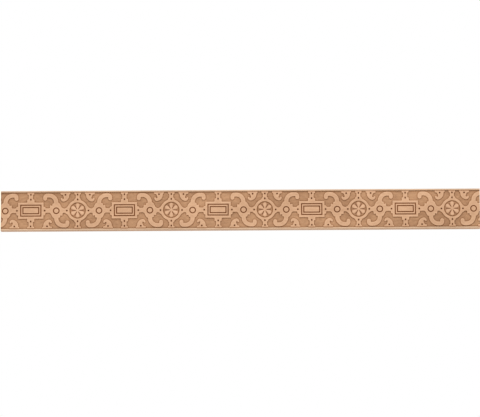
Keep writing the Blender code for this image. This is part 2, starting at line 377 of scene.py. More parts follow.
def softened(loop):
    points = np.array(loop)
    result = []
    for index in range(len(points)):
        before, here, after = points[index - 1], points[index], points[(index + 1) % len(points)]
        back, forth = before - here, after - here
        back_length, forth_length = np.hypot(*back), np.hypot(*forth)
        turn = math.degrees(math.acos(np.clip(-back @ forth / back_length / forth_length, -1, 1)))
        if turn < CORNER_TURN:
            result.append(here)
            continue
        first = here + back / back_length * min(CORNER_SETBACK, CORNER_SHARE * back_length)
        last = here + forth / forth_length * min(CORNER_SETBACK, CORNER_SHARE * forth_length)
        for share in (0, 0.5, 1):
            curve = (1 - share) ** 2 * first + 2 * share * (1 - share) * here + share**2 * last
            result.append(curve)
    return result


def spaced(loop, step):
    result = []
    for here, after in zip(loop, loop[1:] + loop[:1]):
        pieces = max(1, math.ceil(np.hypot(*(after - here)) / step))
        result += [here + (after - here) * part / pieces for part in range(pieces)]
    pairs = zip(result, result[-1:] + result)
    return np.array([point for point, last in pairs if np.hypot(*(point - last)) > LEAST_SIDE])


strap_loops = [spaced(softened(loop), STRAIGHT_STEP) for loop in raw_loops]
flower_loop = spaced(softened(flower_outline()), STRAIGHT_STEP)
print("edge points along the straps:", sum(map(len, strap_loops)), "and the flower:", len(flower_loop))

# %% [markdown]
# How far a point lies from the carved edge
#
# The whole relief hangs on one number for each point of the face: its distance to the nearest
# edge, positive on the wood that stands up and negative over the ground. Numpy measures many
# points against all the edge's segments at once, in portions so that memory stays small.

# %% Distance to an outline
PORTION = 400


def edge_distance(points, loops):
    starts = np.vstack(loops)
    ends = np.vstack([np.roll(loop, -1, axis=0) for loop in loops])
    run = ends - starts
    run_squared = (run**2).sum(axis=1)
    slope = run[:, 0] / np.where(run[:, 1] == 0, 1e-12, run[:, 1])
    result = np.empty(len(points))
    for first in range(0, len(points), PORTION):
        part = points[first : first + PORTION]
        px, pz = part[:, 0, None], part[:, 1, None]
        away_x, away_z = px - starts[:, 0], pz - starts[:, 1]
        along = np.clip((away_x * run[:, 0] + away_z * run[:, 1]) / run_squared, 0, 1)
        gap = np.hypot(away_x - along * run[:, 0], away_z - along * run[:, 1]).min(axis=1)
        crossed = (starts[:, 1] > pz) != (ends[:, 1] > pz)
        inside = (crossed & (px < starts[:, 0] + away_z * slope)).sum(axis=1) % 2 == 1
        result[first : first + PORTION] = np.where(inside, gap, -gap)
    return result


print("distance in the cartouche's middle:", edge_distance(np.zeros((1, 2)), strap_loops).round(2), "mm")

# %% [markdown]
# The edge in section
#
# Cut the moulding across and look at a strap's edge: a flat top, an arris rounded by handling,
# a wall that leans a little, then a fine line where the knife went in, and the ground. That
# section is a few pairs of distance and height, so straight lines between them will do. A strap's
# heights count from the ground to its top, and a petal has its own, domed section.

# %% Sections of strap and petal
GROUND_FROM = -0.95
KNIFE_LINE = -0.62
KNIFE_DEPTH = 0.10
WALL_FOOT = -0.42
WALL_FOOT_RISE = 0.06
WALL_TOP_DROP = 0.17
ROUNDING = 0.14
ROUNDING_DROP = 0.06
ARRIS = 0.36
STRAP_STEPS = (GROUND_FROM, KNIFE_LINE, WALL_FOOT, 0, ROUNDING, ARRIS)
PETAL_STEPS = (-0.45, -0.25, 0, 0.25, 0.7, 1.3, 2.0)
PETAL_HEIGHTS = (-0.05, 0.02, 0.5, 0.78, 1.0, 1.12, 1.15)


def strap_section(distance, depth):
    wall_top, rounded = depth - WALL_TOP_DROP, depth - ROUNDING_DROP
    return np.interp(distance, STRAP_STEPS, (0, -KNIFE_DEPTH, WALL_FOOT_RISE, wall_top, rounded, depth))


def petal_section(distance):
    return np.interp(distance, PETAL_STEPS, PETAL_HEIGHTS)


print("a strap's edge is", round(ARRIS - GROUND_FROM, 2), "mm across")

# %% [markdown]
# Grooves and drilled dots
#
# Two mitred V-grooves run round the cartouche, one ring groove makes the scroll's eye, and small
# pits with a flat bottom sit on the ties, links and hooks. For each we need how far a point lies
# from it. The cartouche's groove takes the larger of two distances, which is what mitres its
# corners. The pits on the ties are a little longer than wide, so their distance is squeezed.

# %% Place grooves and dots
GROOVE_HALVES = ((12.85, 6.95), (10.05, 3.9))
GROOVE_HALF_WIDTH = 0.92
GROOVE_DEPTH = 1.15
EYE_CENTRE = (SCROLL_X, -0.3)
EYE_RADIUS = 3.6
DOT_RADIUS = 1.25
DOT_FLAT = 0.5
DOT_SQUEEZE = 1.15
DOT_DEPTH = 1.45
HOOK_DOT = (44.0, 20.2)
TIE_DOTS = [(x, z) for x in (0, HALF_PITCH) for z in (20.35, 14.05, -13.9, -20.15)]
ROUND_DOTS = [(17.65, -0.1), (45.85, -0.2), HOOK_DOT] + turned([HOOK_DOT])
DOTS = [(*centre, DOT_SQUEEZE) for centre in TIE_DOTS] + [(*centre, 1) for centre in ROUND_DOTS]


def groove_distances(points):
    x, z = points[:, 0], points[:, 1]
    frames = [np.maximum(abs(x) - half_x, abs(z) - half_z) for half_x, half_z in GROOVE_HALVES]
    return frames + [np.hypot(x - EYE_CENTRE[0], z - EYE_CENTRE[1]) - EYE_RADIUS]


def dot_reach(points, x, z, squeeze):
    return np.hypot((points[:, 0] - x) * squeeze, (points[:, 1] - z) / squeeze)


print(len(DOTS), "dots and", len(GROOVE_HALVES) + 1, "grooves in half a repeat")

# %% [markdown]
# Cuts in the flower
#
# A V cut parts each petal from the next and runs out into the dish, and a fine line is cut where
# the rim's wall meets the dish. Both are measured like the grooves: a cut is a short stretch of a
# line from the middle, so a point's way along that line is held between the stretch's two ends.

# %% Place the flower's cuts
PETAL_CUT = (2.5, 7.6)
PETAL_CUT_HALF_WIDTH = 0.6
PETAL_CUT_ANGLES = [90 + 360 / PETALS * (petal + 0.5) for petal in range(PETALS)]
DISH_RING_RADIUS = 9.5
DISH_RING_HALF_WIDTH = 0.65
DISH_RING_DEPTH = 0.45


def petal_cut_distance(points):
    away = points - BOSS_CENTRE
    gaps = []
    for angle in PETAL_CUT_ANGLES:
        along = np.array(on_circle((0, 0), 1, angle))
        walked = np.clip(away @ along, *PETAL_CUT)
        gaps.append(np.hypot(*(away - walked[:, None] * along).T))
    return np.min(gaps, axis=0)


def dish_ring(points):
    """From 1 in the line's bottom to 0 beside it."""
    reach = np.hypot(points[:, 0] - HALF_PITCH, points[:, 1])
    return (1 - abs(reach - DISH_RING_RADIUS) / DISH_RING_HALF_WIDTH).clip(0, 1)


def cut_depth(points):
    depth = GROOVE_DEPTH * (1 - petal_cut_distance(points) / PETAL_CUT_HALF_WIDTH)
    for distance in groove_distances(points):
        depth = np.maximum(depth, GROOVE_DEPTH * (1 - abs(distance) / GROOVE_HALF_WIDTH))
    for dot in DOTS:
        pit = np.interp(dot_reach(points, *dot), (DOT_FLAT, DOT_RADIUS), (DOT_DEPTH, 0))
        depth = np.maximum(depth, pit)
    return depth


print("petals are cut from", PETAL_CUT[0], "to", PETAL_CUT[1], "mm from the boss's middle")

# %% [markdown]
# Height of any point of the face
#
# Now the relief is one function: the strap's section over the ground, and in the dish the rim's
# inner wall and the petals. Grooves, cuts and dots are then taken off the face.

# %% The relief as a function
def relief(points):
    strap = edge_distance(points, strap_loops)
    flower = edge_distance(points, [flower_loop])
    in_dish = np.hypot(points[:, 0] - HALF_PITCH, points[:, 1]) < DISH_RADIUS
    height = GROUND + strap_section(strap, FACE - GROUND)
    dish_floor = FACE - DISH_DEPTH
    dished = dish_floor + np.maximum(strap_section(strap, DISH_DEPTH), petal_section(flower))
    dished -= DISH_RING_DEPTH * dish_ring(points)
    height = np.where(in_dish, dished, height)
    return np.minimum(height, FACE - cut_depth(points)), strap, flower, in_dish


sample = np.array([(0, 0), (0, GROOVE_HALVES[0][1]), (24.0, 14.0)])
print("plate, groove and ground lie at", relief(sample)[0].round(2), "mm")

# %% [markdown]
# Where the mesh needs points
#
# An even grid fine enough for the carved edges would take millions of faces. Instead, rows of
# points follow every edge at exactly the distances where its section bends, and a looser
# honeycomb fills plates and ground. Each row is tied together with edges that the triangulation
# must keep, so arrises and groove bottoms come out as clean lines. A row is an outline stepped
# sideways, and it drops the points that would come too close to another edge.

# %% Rows along the edges
LONGEST_MITRE = 0.6
ROW_TOLERANCE = 0.07
rows = []


def row_beside(loop, loops, offset):
    ahead = np.roll(loop, -1, axis=0) - loop
    ahead /= np.hypot(*ahead.T)[:, None]
    across = ahead + np.roll(ahead, 1, axis=0)
    across /= np.hypot(*across.T)[:, None]
    inward = np.stack([-across[:, 1], across[:, 0]], axis=1)
    mitre = 1 / np.clip((ahead * across).sum(axis=1), LONGEST_MITRE, 1)
    points = loop + inward * (offset * mitre)[:, None]
    kept = abs(edge_distance(points, loops) - offset) < ROW_TOLERANCE
    return points, kept


def keep_row(points, kept=None, closed=True):
    rows.append((np.array(points), np.ones(len(points), bool) if kept is None else kept, closed))


for loop in strap_loops:
    for offset in reversed(STRAP_STEPS):
        points, kept = row_beside(loop, strap_loops, offset)
        if offset < 0:
            kept &= edge_distance(points, [flower_loop]) < PETAL_STEPS[0]
        keep_row(points, kept)
for offset in PETAL_STEPS[:-1]:
    points, kept = row_beside(flower_loop, [flower_loop], offset)
    keep_row(points, kept & (edge_distance(points, strap_loops) < WALL_FOOT))
print(len(rows), "rows along the edges of straps and petals")

# %% [markdown]
# Rows along the cuts
#
# A V-groove needs three rows: its two lips and its bottom. The line round the dish lies so near
# the rim that the rim's own rows serve as its outer lip. A dot takes two small rings, one at its
# lip and one round its flat bottom.

# %% Rows along grooves, cuts and dots
GROOVE_STEP = 2.6
CUT_POINTS = 8
DOT_RINGS = ((DOT_RADIUS, 12), (DOT_FLAT, 6))
LIPS_AND_BOTTOM = (-GROOVE_HALF_WIDTH, 0, GROOVE_HALF_WIDTH)

for half_x, half_z in GROOVE_HALVES:
    for offset in LIPS_AND_BOTTOM:
        x, z = half_x + offset, half_z + offset
        corners = [np.array(corner) for corner in ((x, z), (-x, z), (-x, -z), (x, -z))]
        keep_row(spaced(corners, GROOVE_STEP))
for offset in LIPS_AND_BOTTOM:
    keep_row(circle(EYE_CENTRE, EYE_RADIUS + offset))
for offset in (-DISH_RING_HALF_WIDTH, 0):
    keep_row(circle(BOSS_CENTRE, DISH_RING_RADIUS + offset))
for angle in PETAL_CUT_ANGLES:
    for aside in (-PETAL_CUT_HALF_WIDTH, 0, PETAL_CUT_HALF_WIDTH):
        start = on_circle(BOSS_CENTRE, aside, angle + 90)
        reaches = np.linspace(*PETAL_CUT, CUT_POINTS)
        keep_row([on_circle(start, reach, angle) for reach in reaches], closed=False)
for x, z, squeeze in DOTS:
    for radius, count in DOT_RINGS:
        ring = [on_circle((0, 0), radius, 360 / count * (step + 0.5)) for step in range(count)]
        keep_row([(x + across / squeeze, z + up * squeeze) for across, up in ring])
print(len(rows), "rows in all, with", sum(int(kept.sum()) for _, kept, _ in rows), "points")

# %% [markdown]
# Filling plates and ground
#
# The honeycomb is tighter on the ground, which gets its tooled unevenness in the mesh, and on
# the petals, which are domed. Points too near a row are left out, so that no sliver appears.

# %% Honeycomb of filling points
GROUND_STEP = 1.0
PLATE_STEP = 2.2
PETAL_STEP = 0.8
GROUND_CLEAR = 0.4
PLATE_CLEAR = 0.7
CUT_CLEAR = 0.6
PETAL_TOP_FROM = 1.5
PETAL_CLEAR = 0.9


def honeycomb(step):
    lift = step * math.sqrt(3) / 2
    count_z = round(2 * FIELD_HALF / lift)
    points = []
    for row in range(1, count_z):
        z = -FIELD_HALF + 2 * FIELD_HALF * row / count_z
        shift = 0.25 if row % 2 else 0.75
        points += [((column + shift) * step, z) for column in range(int(HALF_PITCH / step))]
    return np.array(points)


def clear_of_cuts(points, room):
    clear = np.ones(len(points), bool)
    for distance in groove_distances(points):
        clear &= abs(distance) > GROOVE_HALF_WIDTH + room
    for dot in DOTS:
        clear &= dot_reach(points, *dot) > DOT_RADIUS + room
    return clear


def filling():
    ground = honeycomb(GROUND_STEP)
    _, strap, _, in_dish = relief(ground)
    ground = ground[(strap < GROUND_FROM - GROUND_CLEAR) & ~in_dish]
    plate = honeycomb(PLATE_STEP)
    _, strap, _, _ = relief(plate)
    plate = plate[(strap > ARRIS + PLATE_CLEAR) & clear_of_cuts(plate, CUT_CLEAR)]
    petal = honeycomb(PETAL_STEP)
    _, strap, flower, in_dish = relief(petal)
    off_edge = (flower > PETAL_TOP_FROM) | (flower < -PETAL_CLEAR)
    petal = petal[in_dish & (strap < GROUND_FROM) & off_edge]
    found = np.vstack([ground, plate, petal])
    across = (found[:, 0] > GROUND_CLEAR) & (found[:, 0] < HALF_PITCH - GROUND_CLEAR)
    return found[across & (abs(found[:, 1]) < FIELD_HALF - GROUND_CLEAR)]


fill = filling()
print(len(fill), "filling points")

# %% [markdown]
# One half repeat as triangles
#
# Constrained Delaunay again: it joins rows and filling into well-shaped triangles and adds a point
# wherever two rows cross. The frame round the field goes in as a constraint too, so the rows are
# cut off exactly on the mirror lines and at the feet of the beads, and copies of the half repeat
# will meet point for point.

# %% Triangulate the half repeat
LEAST_GAP = 0.2
ROW_MERGE = 0.02
FRAME_STEP = 2.4
QUIRK_WIDTH = 0.8


def stretches(points, kept, closed):
    """The row's unbroken stretches, without points that crowd each other."""
    if closed and not kept.all():
        start = int(np.argmin(kept))
        points, kept = np.roll(points, -start, axis=0), np.roll(kept, -start)
    found = []
    run = []
    for point, good in zip(points, kept):
        if not good:
            run = []
            continue
        if run and np.hypot(*(point - run[-1])) < LEAST_GAP:
            continue
        if not run:
            found.append(run)
        run.append(point)
    if closed and kept.all():
        found[0].append(found[0][0])
    return found


def straight_row(start, end):
    start, end = np.array(start), np.array(end)
    pieces = math.ceil(math.dist(start, end) / FRAME_STEP)
    return [start + (end - start) * part / pieces for part in range(pieces + 1)]


def frame_rows():
    """The border of the field, and a line for the quirk's inner edge beside each bead."""
    corners = [(0, -FIELD_HALF), (HALF_PITCH, -FIELD_HALF), (HALF_PITCH, FIELD_HALF), (0, FIELD_HALF)]
    found = [straight_row(a, b) for a, b in zip(corners, corners[1:] + corners[:1])]
    for z in (FIELD_HALF - QUIRK_WIDTH, QUIRK_WIDTH - FIELD_HALF):
        found.append(straight_row((0, z), (HALF_PITCH, z)))
    return found


def on_mirror_line(x):
    if abs(x) < LEAST_GAP:
        return 0
    return HALF_PITCH if abs(x - HALF_PITCH) < LEAST_GAP else x


def triangulated():
    points = [Vector(point) for point in fill]
    edges = []
    runs = [run for row in rows for run in stretches(*row)]
    for run in runs + frame_rows():
        first = len(points)
        points += [Vector((on_mirror_line(x), z)) for x, z in run]
        edges += [(index, index + 1) for index in range(first, len(points) - 1)]
    corners, _, triangles, _, _, _ = delaunay_2d_cdt(points, edges, [], 0, ROW_MERGE)
    flat = np.array([tuple(corner) for corner in corners])
    triangles = np.array(triangles)
    middle = flat[triangles].mean(axis=1)
    held = (middle[:, 0] > 0) & (middle[:, 0] < HALF_PITCH) & (abs(middle[:, 1]) < FIELD_HALF)
    used, triangles = np.unique(triangles[held], return_inverse=True)
    return flat[used], triangles.reshape(-1, 3)


flat_points, flat_triangles = triangulated()
print(len(flat_points), "points and", len(flat_triangles), "triangles in half a repeat")

# %% [markdown]
# Where finish settles, and where shade and highlights are painted
#
# The same distances say where the colour is darkened or lightened. Settled finish and painted
# shade run to the foot of a wall and are darkest where walls crowd round it, so we ask how much of
# a small circle round a point lies on raised wood: on open ground beside a straight wall that is
# FLAT_WALL_CROWDING. The same darkening lies beside the beads, with a painted shadow under the
# upper one, and all over the dish. Where a strap's foot runs into a bead a painted shade line is
# drawn, and arrises and the lips of grooves get a painted highlight.

# %% Where the marks lie
# The darkening near walls and beads is settled finish with painted shade; under the upper bead it is a
# painted shadow.
STAIN_AND_SHADE_REACH = 1.9
CROWDING_REACH = 1.5
CROWDING_TURNS = range(0, 360, 30)
FLAT_WALL_CROWDING = 0.38
MOST_CROWDING = 1.4
CROWDING_POWER = 2
BESIDE_WALL = (-STAIN_AND_SHADE_REACH, KNIFE_LINE, -0.05)
WALL_STAIN_AND_SHADE = (0, 1, 0.2)
BESIDE_BEAD = (-STAIN_AND_SHADE_REACH, -0.4)
UNDER_UPPER_BEAD = (-2.5, -1.9, -1.2)
UPPER_BEAD_SHADOW = (0, 0.4, 1)
DISH_STAIN_AND_SHADE = 0.45
# a painted shade line where a strap's foot runs into a bead
UPPER_FOOT = (-1.0, -0.3)
UPPER_FOOT_SHADE = 0.45
LOWER_FOOT = (-0.6, 0)
LOWER_FOOT_SHADE = 0.55
STRAP_BEGINS = (-0.2, 0.2)
# painted highlight along arrises and groove lips
ARRIS_MIDDLE = 0.3
ARRIS_HIGHLIGHT_SPAN = (0.2, 0.9)
LIP_HIGHLIGHT_SPAN = (0, 0.25)


def crowding(points):
    share = np.zeros(len(points))
    for turn in CROWDING_TURNS:
        there = points + on_circle((0, 0), CROWDING_REACH, turn)
        raised = (edge_distance(there, strap_loops) > 0) | (abs(there[:, 1]) > FIELD_HALF)
        share += raised / len(CROWDING_TURNS)
    return share


# Settled finish plus painted shade: darker at a wall's foot and in crowded corners, a painted shadow
# under the upper bead, and the whole dish darker.
def stain_and_painted_shade(points, strap, outside, in_dish):
    above = points[:, 1] - FIELD_HALF
    stain_and_shade = np.interp(outside, BESIDE_WALL, WALL_STAIN_AND_SHADE)
    stain_and_shade *= np.clip(crowding(points) / FLAT_WALL_CROWDING, 0, MOST_CROWDING) ** CROWDING_POWER
    beside = np.interp(abs(points[:, 1]) - FIELD_HALF, BESIDE_BEAD, (0, 1))
    beside = np.maximum(beside, np.interp(above, UNDER_UPPER_BEAD, UPPER_BEAD_SHADOW))
    stain_and_shade = np.maximum(stain_and_shade, beside * (strap < 0))
    return np.maximum(stain_and_shade, in_dish * (outside < -0.2) * DISH_STAIN_AND_SHADE)


# A painted shade line where a strap's foot runs into a bead.
def painted_foot_shade(points, strap):
    upper = np.interp(points[:, 1] - FIELD_HALF, UPPER_FOOT, (0, UPPER_FOOT_SHADE))
    lower = np.interp(-points[:, 1] - FIELD_HALF, LOWER_FOOT, (0, LOWER_FOOT_SHADE))
    return np.maximum(upper, lower) * np.interp(strap, STRAP_BEGINS, (0, 1))


# A painted highlight along the arrises and the lips of grooves.
def painted_edge_highlights(points, strap):
    lips = np.min([abs(abs(gap) - GROOVE_HALF_WIDTH) for gap in groove_distances(points)], axis=0)
    arris_highlight = np.interp(abs(strap - ARRIS_MIDDLE), ARRIS_HIGHLIGHT_SPAN, (1, 0))
    return (arris_highlight + np.interp(lips, LIP_HIGHLIGHT_SPAN, (1, 0))) * (strap > -0.5)


print("finish reaches", STAIN_AND_SHADE_REACH, "mm from a wall's foot")

# %% [markdown]
# From drawing to carving
#
# Each point gets its height from the relief function. Beside the beads a fine quirk is cut, deep
# over a strap's foot and shallow over the ground. Five masks are kept with the points, each from
# 0 to 1: how deep a point lies, how far it is down a groove, cut or dot, together with the painted
# shade line at a strap's foot, how much settled finish and painted shade darken it, how much
# painted highlight it gets, and whether it is on a bead.

# %% Heights and masks
QUIRK_DEPTH = 0.7
# settled finish and painted shade darken the dish's ring line beyond its shallow cut
RING_STAIN_AND_SHADE = 0.28


def carved(points):
    height, strap, flower, in_dish = relief(points)
    raised = np.clip((height - GROUND) / RELIEF, 0, 1)
    quirk = np.clip(1 - (FIELD_HALF - abs(points[:, 1])) / QUIRK_WIDTH, 0, 1)
    height = height - quirk * (KNIFE_DEPTH + (QUIRK_DEPTH - KNIFE_DEPTH) * raised)
    outside = np.where(in_dish, np.maximum(strap, flower), strap)
    # this darkens grooves, dots and the dish ring with settled finish and painted shade, and carries the
    # painted foot shade line
    cut = np.maximum(cut_depth(points) / GROOVE_DEPTH, RING_STAIN_AND_SHADE * dish_ring(points) * in_dish)
    marks = {
        "sunk": (FACE - height) / RELIEF,
        "cut": np.maximum(cut, painted_foot_shade(points, strap)),
        "stain_and_shade": stain_and_painted_shade(points, strap, outside, in_dish),
        "arris_highlight": painted_edge_highlights(points, strap),
        "bead": np.zeros(len(points)),
    }
    return np.column_stack([points, height]), {name: mark.clip(0, 1) for name, mark in marks.items()}


carved_points, masks = carved(flat_points)
heights = carved_points[:, 2]
print("heights from", heights.min().round(2), "to", heights.max().round(2), "mm")

# %% [markdown]
# The beads and the square edges
#
# Along each side the strip turns over into a half-round bead, then comes the plain edge and its
# eased back corner. We sweep that section by hand: every point at the field's border repeats the
# section's points at its own x. Where a strap's foot meets the bead, the bead's inner side simply
# can't be lower than the foot. The settled finish with its painted shade, and the painted shade
# line at a strap's foot, fade out over the bead's first three steps, given for the upper bead (1)
# and the lower one (-1); the upper bead takes more painted shade.

# %% Sweep the beads along the border
BEAD_RADIUS = BEAD_WIDTH / 2
BEAD_ANGLES = (158, 132, 108, 84, 60, 34, 8)
SIDE_HEIGHTS = (9.0, 5.0, BACK_EASE)
SAME_PLACE = 1e-6
# How far the settled finish with its painted shade, and the painted foot shade line, reach onto the
# bead's first steps; the upper bead takes more painted shade.
STAIN_AND_SHADE_ON_BEAD = {1: (0.6, 0.45, 0.25), -1: (0.5, 0.1, 0)}
FOOT_SHADE_ON_BEAD = {1: (0.6, 0.3, 0), -1: (0.95, 0.7, 0.2)}


def bead_section():
    crown_middle = (WIDTH / 2 - BEAD_RADIUS, THICKNESS - BEAD_RADIUS)
    crown = [on_circle(crown_middle, BEAD_RADIUS, angle) for angle in BEAD_ANGLES]
    side = [(WIDTH / 2, height) for height in SIDE_HEIGHTS]
    return crown + side + [(WIDTH / 2 - BACK_EASE, 0)]


def with_edges(points, triangles, masks):
    """Adds both long edges to the half repeat, whose points are (x, z, height)."""
    parts = [points]
    faces = [tuple(triangle) for triangle in triangles]
    count = len(points)
    longer = dict(masks)
    for side in (1, -1):
        border = np.flatnonzero(abs(points[:, 1] - side * FIELD_HALF) < SAME_PLACE)
        border = border[np.argsort(points[border, 0])]
        before = border
        for step, (width, height) in enumerate(bead_section()):
            line = points[border].copy()
            inner = width < WIDTH / 2 - BEAD_RADIUS
            line[:, 1] = side * width
            line[:, 2] = np.maximum(height, line[:, 2]) if inner else height
            parts.append(line)
            marks = {name: np.zeros(len(line)) for name in masks}
            if step < len(STAIN_AND_SHADE_ON_BEAD[side]):
                marks["stain_and_shade"] = masks["stain_and_shade"][border] * STAIN_AND_SHADE_ON_BEAD[side][step]
                marks["cut"] = masks["cut"][border] * FOOT_SHADE_ON_BEAD[side][step]
            if height > THICKNESS - BEAD_WIDTH:
                marks["bead"] += 1
            longer = {name: np.append(longer[name], marks[name]) for name in masks}
            here = count + np.arange(len(line))
            count += len(line)
            for quad in zip(before, before[1:], here[1:], here):
                faces.append(quad[::side])
            before = here
    return np.vstack(parts), faces, longer


half, half_faces, half_masks = with_edges(carved_points, flat_triangles, masks)
print(len(half), "points in the half repeat with its edges")

# %% [markdown]
# Step the half repeat along the board
#
# The half is turned over about the cartouche and stepped on by the pitch, and every copy that
# touches the board's length is kept. A flat back closes the form. Halves and back share their
# border points, so rounding the coordinates and keeping each place once welds them into one skin.

# %% Mirror, repeat and weld
BACK_STEP = 9.0


def half_copies():
    copies = []
    for index in range(2 * REPEATS):
        middle = FIRST_CARTOUCHE + PITCH * (index // 2)
        way = 1 if index % 2 == 0 else -1
        copy = half * (way, 1, 1) + (middle, 0, 0)
        if copy[:, 0].min() < LENGTH / 2 and copy[:, 0].max() > -LENGTH / 2:
            copies.append((copy, [face[::way] for face in half_faces], half_masks))
    return copies


def back_corners(points):
    return points[abs(abs(points[:, 1]) - WIDTH / 2 + BACK_EASE) < SAME_PLACE]


def plain_back(copies):
    """The back as triangles between the two eased corners, with some points in the middle."""
    points = np.vstack([back_corners(copy) for copy, _, _ in copies])
    points = np.unique(points[points[:, 2] == 0].round(4), axis=0)
    runs = [np.flatnonzero(points[:, 1] * side > 0) for side in (1, -1)]
    edges = [pair for run in runs for pair in zip(run.tolist(), run[1:].tolist())]
    columns = np.arange(points[:, 0].min() + BACK_STEP, points[:, 0].max(), BACK_STEP)
    inner = [(x, z, 0) for x in columns for z in np.arange(-2, 3) * BACK_STEP]
    corners = [Vector(point[:2]) for point in [*points, *inner]]
    corners, _, triangles, _, _, _ = delaunay_2d_cdt(corners, edges, [], 0, FLAT_MERGE)
    placed = np.array([(*corner, 0) for corner in corners])
    faces = [tuple(triangle[::-1]) for triangle in triangles]
    return placed, faces, {name: np.zeros(len(placed)) for name in half_masks}


def welded(parts):
    points = np.vstack([points for points, _, _ in parts])
    joined_masks = {name: np.concatenate([part[2][name] for part in parts]) for name in half_masks}
    _, first, home = np.unique(points.round(3), axis=0, return_index=True, return_inverse=True)
    home = home.ravel()
    faces = []
    start = 0
    for part_points, part_faces, _ in parts:
        for face in part_faces:
            corners = [int(home[start + corner]) for corner in face]
            if len(set(corners)) == len(corners):
                faces.append(corners)
        start += len(part_points)
    return points[first], faces, {name: mask[first] for name, mask in joined_masks.items()}


copies = half_copies()
board, board_faces, board_masks = welded(copies + [plain_back(copies)])
print(len(copies), "half repeats welded:", len(board), "points and", len(board_faces), "faces")

# %% [markdown]
# Signs of the hand
#
# Exact copies would give the board away. Smooth noise lets the outlines wander by a tenth of a
# millimetre and leaves a faint tooled unevenness in the ground, so that no two repeats are quite
# alike. The beads stay straight, because they were cut with a plane, and the wander fades out
# towards them. Blender takes the offsets of its vector noise from the clock unless a seed is set,
# so we set one and get the same board on every run.

# %% Uneven by hand
HAND_SEED = 5
WANDER = 0.13
WANDER_SIZE = 17.0
TOOLING = 0.07
TOOLING_SIZE = 3.4
FINER = 2.3
FLATNESS = 0.025
FLATNESS_SIZE = 23.0
FADE = 3.0


def uneven(points, masks):
    noise.seed_set(HAND_SEED)
    result = points.copy()
    held = np.clip((FIELD_HALF - abs(points[:, 1])) / FADE, 0, 1)
    tooled = masks["sunk"] * (1 - masks["cut"]) * held
    for index in np.flatnonzero((held > 0) & (points[:, 2] > 0)):
        x, z, height = points[index]
        place = Vector((x, z, 0))
        drift = noise.noise_vector(place / WANDER_SIZE) * WANDER * held[index]
        tooth = noise.noise(place / TOOLING_SIZE) + 0.5 * noise.noise(place / TOOLING_SIZE * FINER)
        sway = noise.noise(place / FLATNESS_SIZE) * FLATNESS * held[index]
        result[index] += (drift.x, drift.y, TOOLING * tooth * tooled[index] + sway)
    return result


even_board = board
board = uneven(even_board, board_masks)
print("outlines wander by up to", abs(board - even_board)[:, :2].max().round(2), "mm")

# %% [markdown]
# The board as an object
#
# The points become a mesh that lies in the frame as the solid does: x along the board, the face
# towards -Y. Two saw cuts bring it to length, and the open ends are filled flat. The masks travel
# along as attributes, which a material can read by name. Smooth shading would make flat plates
# look puffy, so a weighted normal modifier lets the large faces have their say.

# %% Make the mesh and saw it to length
SHARP_FROM = 42
FACE_SLOT, BACK_SLOT, END_SLOT = 0, 1, 2
BACK_WITHIN = 0.01
SAW_TOLERANCE = 0.002


def board_mesh():
    mesh = bpy.data.meshes.new("strapwork_board")
    mesh.from_pydata([(x * MM, -height * MM, z * MM) for x, z, height in board], [], board_faces)
    for name, mask in board_masks.items():
        layer = mesh.attributes.new(name, "FLOAT", "POINT")
        layer.data.foreach_set("value", mask.astype(np.float32))
    return mesh


def sawn_to_length(mesh):
    made = bmesh.new()
    made.from_mesh(mesh)
    for face in made.faces:
        on_back = all(abs(corner.co.y) < BACK_WITHIN * MM for corner in face.verts)
        face.material_index = BACK_SLOT if on_back else FACE_SLOT
    for side in (-1, 1):
        bmesh.ops.bisect_plane(
            made,
            geom=made.verts[:] + made.edges[:] + made.faces[:],
            dist=SAW_TOLERANCE * MM,
            plane_co=(side * LENGTH / 2 * MM, 0, 0),
            plane_no=(side, 0, 0),
            use_snap_center=True,
            clear_outer=True,
        )
        cut = [edge for edge in made.edges if edge.is_boundary]
        filled = bmesh.ops.holes_fill(made, edges=cut)["faces"]
        for face in bmesh.ops.triangulate(made, faces=filled)["faces"]:
            face.material_index = END_SLOT
    bmesh.ops.recalc_face_normals(made, faces=made.faces)
    still_open = sum(edge.is_boundary for edge in made.edges)
    made.to_mesh(mesh)
    made.free()
    return still_open


mesh = board_mesh()
still_open = sawn_to_length(mesh)
mesh.shade_smooth()
mesh.set_sharp_from_angle(angle=math.radians(SHARP_FROM))
moulding = bpy.data.objects.new("strapwork_board", mesh)
bpy.context.scene.collection.objects.link(moulding)
flatten = moulding.modifiers.new("flat_plates", "WEIGHTED_NORMAL")
flatten.keep_sharp = True
triangle_count = sum(len(face.vertices) - 2 for face in mesh.polygons)
print(triangle_count, "triangles,", still_open, "open edges")

# %% [markdown]
# Small helpers for materials
#
# A node tree is easier to read when each node is one line. One helper feeds a node's sockets with
# numbers or with other nodes' outputs, and the next one places a node with its options. The others
# use them for sums, for mixing two colours, for spreading a value to another range, and for noise
# that is stretched by a scale along each axis.

# %% Place nodes in few words
def feed(tree, node, sockets):
    for key, value in sockets.items():
        if isinstance(value, bpy.types.NodeSocket):
            tree.links.new(value, node.inputs[key])
        else:
            node.inputs[key].default_value = value


def place(tree, kind, sockets, **options):
    made = tree.nodes.new(kind)
    for name, value in options.items():
        setattr(made, name, value)
    feed(tree, made, sockets)
    return made


def maths(tree, operation, *values):
    return place(tree, "ShaderNodeMath", dict(enumerate(values)), operation=operation).outputs[0]


def blended(tree, kind, share, below, above):
    sockets = {0: share, 6: below, 7: above}
    return place(tree, "ShaderNodeMix", sockets, data_type="RGBA", blend_type=kind).outputs[2]


def spread(tree, value, low, high, to_low, to_high):
    sockets = {"Value": value, 1: low, 2: high, 3: to_low, 4: to_high}
    return place(tree, "ShaderNodeMapRange", sockets).outputs[0]


